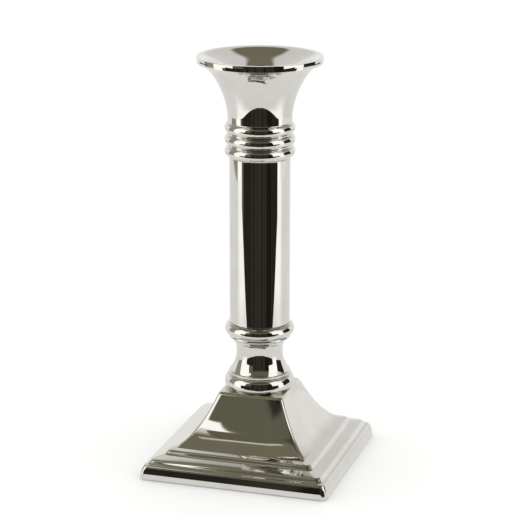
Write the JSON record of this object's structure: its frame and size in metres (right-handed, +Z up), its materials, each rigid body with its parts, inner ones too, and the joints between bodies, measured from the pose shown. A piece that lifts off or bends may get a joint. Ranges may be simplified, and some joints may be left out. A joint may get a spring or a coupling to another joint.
{
  "type": "candlestick",
  "caption": "Column candlestick on a stepped square base, with reeded collar, trumpet socket and dished rim; polished metal sections clamped on a tie rod over a loaded, felted base.",
  "frame": {"origin": "middle of the felt's underside, on the column's axis", "axes": "+Z up along the column; +X and +Y square to the sides of the base"},
  "size_m": [0.093, 0.093, 0.2],
  "materials": {
    "polished_nickel": "mirror-polished warm nickel plate",
    "zinc_plated_steel": "zinc plated, machined",
    "turned_brass": "as turned",
    "cast_iron": "as cast",
    "pressed_board": "pressed fibre board, unpainted",
    "black_felt": "pressed wool felt"
  },
  "bodies": {
    "root": {"base_shell": "polished_nickel", "base_collar": "polished_nickel", "knop": "polished_nickel", "column_ring": "polished_nickel", "column_tube": "polished_nickel", "reeded_collar": "polished_nickel", "socket_bell": "polished_nickel", "candle_socket": "polished_nickel", "tie_rod": "zinc_plated_steel", "hex_nut": "zinc_plated_steel", "lock_washer": "zinc_plated_steel", "plate_washer": "zinc_plated_steel", "lower_plug": "zinc_plated_steel", "upper_plug": "zinc_plated_steel", "cup_boss": "turned_brass", "ballast_block": "cast_iron", "cover_board": "pressed_board", "felt_pad": "black_felt"}
  },
  "joints": []
}
